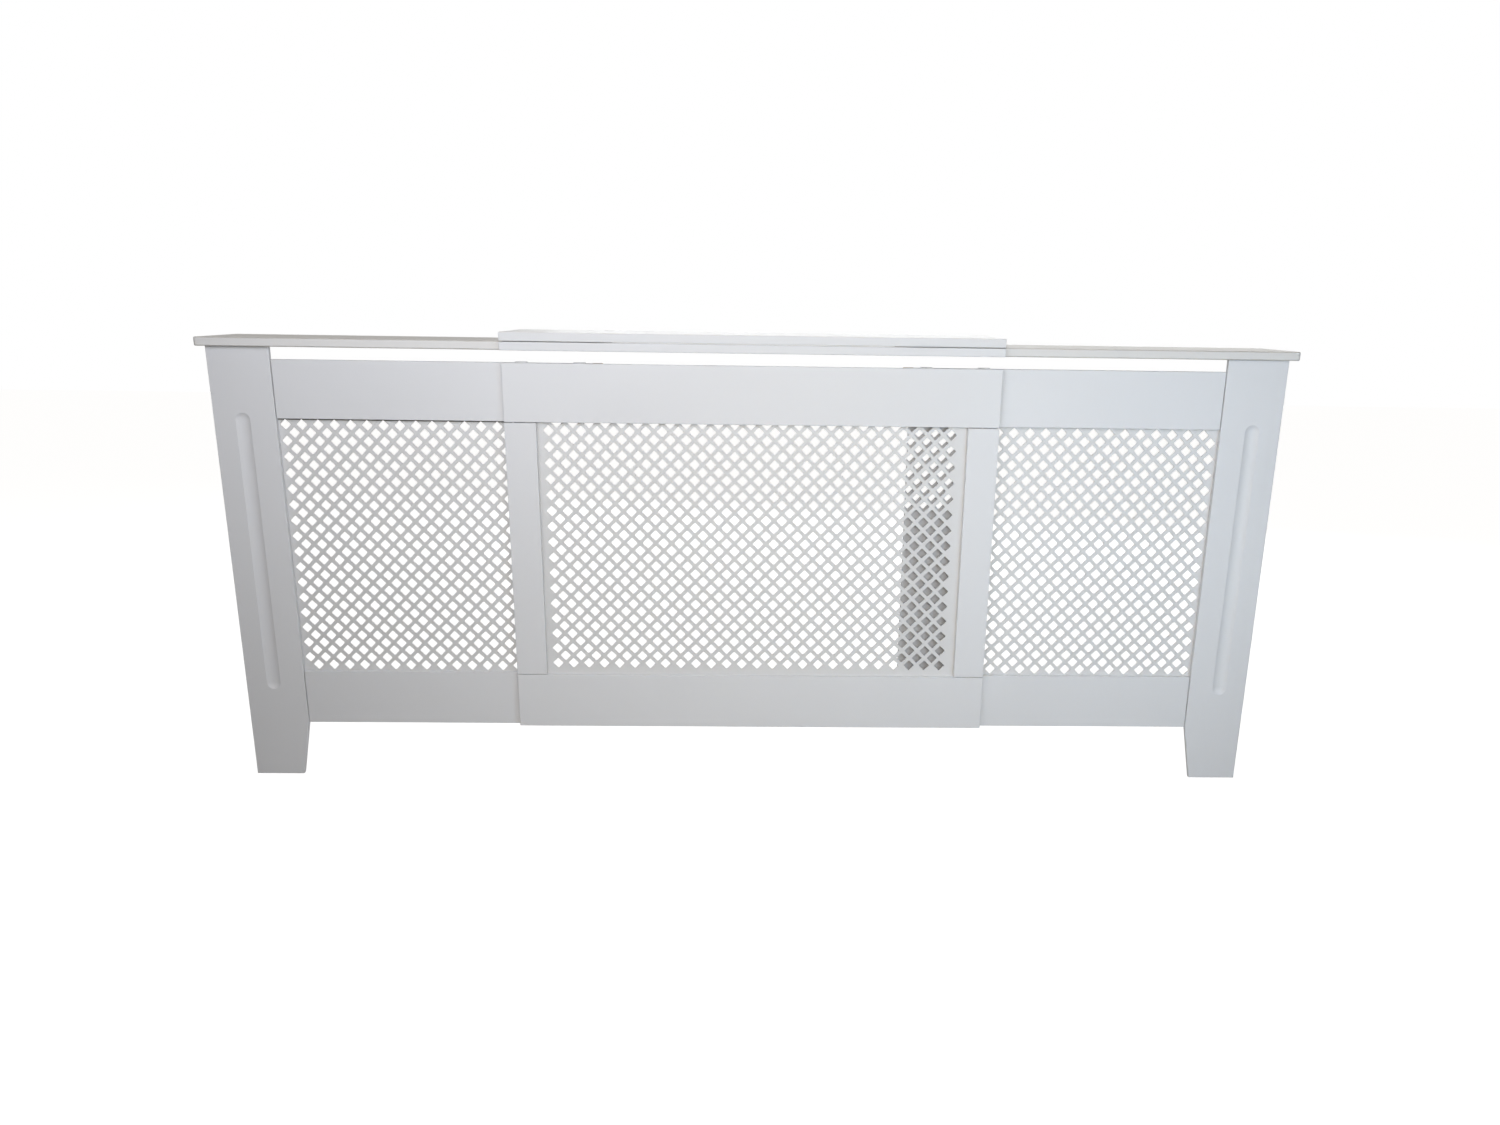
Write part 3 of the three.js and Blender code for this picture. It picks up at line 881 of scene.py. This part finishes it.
def joining_plate(node, body):
    """A plate with its four corners cut off."""
    low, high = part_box(node)
    cut = plate_corner
    outline = [
        (low.x + cut, low.z), (high.x - cut, low.z), (high.x, low.z + cut), (high.x, high.z - cut),
        (high.x - cut, high.z), (low.x + cut, high.z), (low.x, high.z - cut), (low.x, low.z + cut),
    ]
    mesh = sawn_blank(node, outline, lambda x, z, y: (x, low.y + y, z), high.y - low.y)
    piece = ease(new_piece(node + "_steel", mesh, bright_zinc), plate_round, steps=2)
    return finish_piece(piece, body, "zinc_steel", node)


def wall_bracket(node, body, side):
    """An angle seen from above: one leg along the side panel, one along the wall."""
    low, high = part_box(node)
    half = bracket_steel / 2
    face_x = high.x if side > 0 else low.x
    tip_x = low.x if side > 0 else high.x
    corner_x = face_x - side * half
    path = [(tip_x, high.y - half), (corner_x, high.y - half), (corner_x, low.y)]
    outline = folded_outline(path, bracket_steel, bracket_bend)
    mesh = sawn_blank(node, outline, lambda x, y, z: (x, y, low.z + z), high.z - low.z)
    hole = (face_x - side * bracket_hole_from_corner, high.y - half, (low.z + high.z) / 2)
    mesh = drilled(mesh, hole, bracket_hole)
    piece = ease(new_piece(node + "_steel", mesh, bright_zinc), bracket_round, steps=1)
    return finish_piece(piece, body, "zinc_steel", node)


for side_name, side in (("left", -1), ("right", 1)):
    body = side_name + "_end"
    for level in ("top", "bottom"):
        joining_plate(f"{side_name}_{level}_joining_plate", body)
    for level in ("upper", "lower"):
        wall_bracket(f"{side_name}_{level}_wall_bracket", body, side)

# ---- screws ----
# Zinc-plated pan-head screws with cross recesses: four in each plate, one in each bracket, and
# sunk ones in the blocks, battens and cleats. Only the heads are made.
head_radius = 0.0038
head_height = 0.0022
head_sides = 24
head_profile = [(1, -0.3), (1, 0.28), (0.95, 0.5), (0.84, 0.7), (0.62, 0.87), (0.34, 0.97)]
recess_width = 0.0010
recess_length = 0.0046
recess_depth = 0.0013
recess_taper = 0.55
sunk_head = 0.3
plate_screws_x = (-0.030, -0.012, 0.012, 0.030)
block_screws_z = (0.015, 0.045)
batten_to_leg_z = (0.09, 0.38, 0.66)
batten_to_panel_z = (0.05, 0.34, 0.62)
cleat_to_shelf_y = (0.02, 0.09)
cleat_to_panel_y = (0.035, 0.075)
backwards = (0, 1, 0)
downwards = (0, 0, -1)


def recess_blade(length, width):
    """One blade of the cross, narrower at its bottom."""
    mesh = bpy.data.meshes.new("blade")
    bottom = head_height * head_profile[-1][1] - recess_depth
    work = bmesh.new()
    bmesh.ops.create_cube(work, size=1)
    for vertex in work.verts:
        taper = 1 if vertex.co.z > 0 else recess_taper
        vertex.co.x *= length * taper
        vertex.co.y *= width * (0.5 + 0.5 * taper)
        vertex.co.z = head_height if vertex.co.z > 0 else bottom
    work.to_mesh(mesh)
    work.free()
    return mesh


def screw_head():
    """A pan head standing on the XY plane, with its cross recess cut in."""
    mesh = bpy.data.meshes.new("screw_head")
    work = bmesh.new()
    rings = []
    for across, up in head_profile:
        ring = []
        for step in range(head_sides):
            angle = 2 * pi * step / head_sides
            place = (head_radius * across * cos(angle), head_radius * across * sin(angle))
            ring.append(work.verts.new((*place, head_height * up)))
        rings.append(ring)
    for lower, upper in zip(rings, rings[1:]):
        for i in range(head_sides):
            j = (i + 1) % head_sides
            work.faces.new([lower[i], lower[j], upper[j], upper[i]])
    work.faces.new(rings[0][::-1])
    work.faces.new(rings[-1])
    work.to_mesh(mesh)
    work.free()
    blades = [recess_blade(recess_length, recess_width), recess_blade(recess_width, recess_length)]
    return cut_away(mesh, blades)


pan_head = screw_head()


def scattered(name, pattern, places, body):
    """Copies of one small mesh as a single zinc piece: a place is a point, a facing, a turn in
    degrees and the share of its height that stands proud."""
    work = bmesh.new()
    for point, way, turn, proud in places:
        copy = pattern.copy()
        facing = Vector((0, 0, 1)).rotation_difference(Vector(way)).to_matrix().to_4x4()
        spin = Matrix.Rotation(radians(turn), 4, "Z")
        copy.transform(Matrix.Translation(point) @ facing @ spin @ Matrix.Diagonal((1, 1, proud, 1)))
        work.from_mesh(copy)
        bpy.data.meshes.remove(copy)
    mesh = bpy.data.meshes.new(name)
    work.to_mesh(mesh)
    work.free()
    return finish_piece(new_piece(name, mesh, bright_zinc), body, "zinc_steel")


def spun(count):
    """A different turn for each screw, as they come to rest."""
    return (count * 137.5) % 90


def screw_row(points, way, first_turn, proud=1):
    """A screw at each point, all facing the same way."""
    return [(point, way, spun(first_turn + i), proud) for i, point in enumerate(points)]


for side_name, side in (("left", -1), ("right", 1)):
    body = side_name + "_end"
    inwards = (-side, 0, 0)
    for level in ("top", "bottom"):
        low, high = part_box(f"{side_name}_{level}_joining_plate")
        middle = (low + high) / 2
        points = [(middle.x + x, high.y, middle.z) for x in plate_screws_x]
        places = screw_row(points, backwards, 0)
        scattered(f"{side_name}_{level}_plate_screws", pan_head, places, body)
        low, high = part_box(f"{side_name}_{level}_stop_block")
        x = (low.x + high.x) / 2
        points = [(x, high.y, low.z + z) for z in block_screws_z]
        places = screw_row(points, backwards, 3, sunk_head)
        scattered(f"{side_name}_{level}_block_screws", pan_head, places, body)
    points = []
    for level in ("upper", "lower"):
        low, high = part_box(f"{side_name}_{level}_wall_bracket")
        inner_face = (high.x if side > 0 else low.x) - side * bracket_steel
        points.append((inner_face, high.y - bracket_hole_from_corner, (low.z + high.z) / 2))
    scattered(f"{side_name}_bracket_screws", pan_head, screw_row(points, inwards, 7), body)
    low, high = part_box(side_name + "_corner_batten")
    x, y = (low.x + high.x) / 2, (low.y + high.y) / 2
    inner_face = low.x if side > 0 else high.x
    points = [(x, high.y, low.z + z) for z in batten_to_leg_z]
    places = screw_row(points, backwards, 5, sunk_head)
    points = [(inner_face, y, low.z + z) for z in batten_to_panel_z]
    places += screw_row(points, inwards, 9, sunk_head)
    scattered(f"{side_name}_batten_screws", pan_head, places, body)
    low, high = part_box(side_name + "_shelf_cleat")
    x, z = (low.x + high.x) / 2, (low.z + high.z) / 2
    inner_face = low.x if side > 0 else high.x
    points = [(x, low.y + y, low.z) for y in cleat_to_shelf_y]
    places = screw_row(points, downwards, 2, sunk_head)
    points = [(inner_face, low.y + y, z) for y in cleat_to_panel_y]
    places += screw_row(points, inwards, 4, sunk_head)
    scattered(f"{side_name}_cleat_screws", pan_head, places, body)

# ---- staples ----
# Fine wire staples that pin the lattice sheets to the backs of the frames around their rims. The
# end sheets' inner edges stay free, because they slide behind the centre.
staple_length = 0.010
staple_wire = 0.0011
staple_proud = 0.0005
staple_sunk = 0.0004
staple_round = 0.0003
row_spacing = 0.12
column_spacing = 0.10
row_below_opening = 0.011
row_above_opening = 0.013
centre_row_half = 0.36
outer_inset = 0.02
inner_inset = 0.03
column_inset = 0.03
behind_stile = 0.010
behind_left_leg = 0.020
behind_right_leg = 0.006


def staple_crown():
    """The part of a staple that shows: a short flat wire with its upper edges rounded."""
    mesh = bpy.data.meshes.new("staple_crown")
    work = bmesh.new()
    bmesh.ops.create_cube(work, size=1)
    for vertex in work.verts:
        vertex.co.x *= staple_length
        vertex.co.y *= staple_wire
        vertex.co.z = staple_proud if vertex.co.z > 0 else -staple_sunk
    upper = [edge for edge in work.edges if all(end.co.z > 0 for end in edge.verts)]
    bmesh.ops.bevel(
        work, geom=upper, offset=staple_round, segments=2, affect="EDGES", profile=0.5
    )
    work.to_mesh(mesh)
    work.free()
    return mesh


crown = staple_crown()


def spaced(first, last, apart):
    """Even steps of about the given spacing from first to last."""
    count = max(1, round((last - first) / apart))
    return [first + (last - first) * step / count for step in range(count + 1)]


def wobble(number):
    """A few degrees either way, as a hand-held stapler leaves them."""
    return ((number * 73) % 17 - 8) * 0.7


def pin_sheet(node, body, first_x, last_x, columns_x):
    """Two rows of staples along the rails, and a column up each stile or leg given."""
    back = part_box(node)[1].y
    places = []
    for z in (opening_low - row_below_opening, opening_high + row_above_opening):
        for x in spaced(first_x, last_x, row_spacing):
            places.append(((x, back, z), backwards, wobble(len(places)), 1))
    for x in columns_x:
        for z in spaced(opening_low + column_inset, opening_high - column_inset, column_spacing):
            places.append(((x, back, z), backwards, 90 + wobble(len(places)), 1))
    scattered(node + "_staples", crown, places, body)


stile_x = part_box("centre_right_stile")[0].x + behind_stile
pin_sheet("centre_lattice", "centre", -centre_row_half, centre_row_half, (-stile_x, stile_x))
low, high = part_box("left_lattice")
left_column = -leg_inner_x - behind_left_leg
pin_sheet("left_lattice", "left_end", low.x + outer_inset, high.x - inner_inset, (left_column,))
low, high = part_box("right_lattice")
right_column = leg_inner_x + behind_right_leg
pin_sheet("right_lattice", "right_end", low.x + inner_inset, high.x - outer_inset, (right_column,))
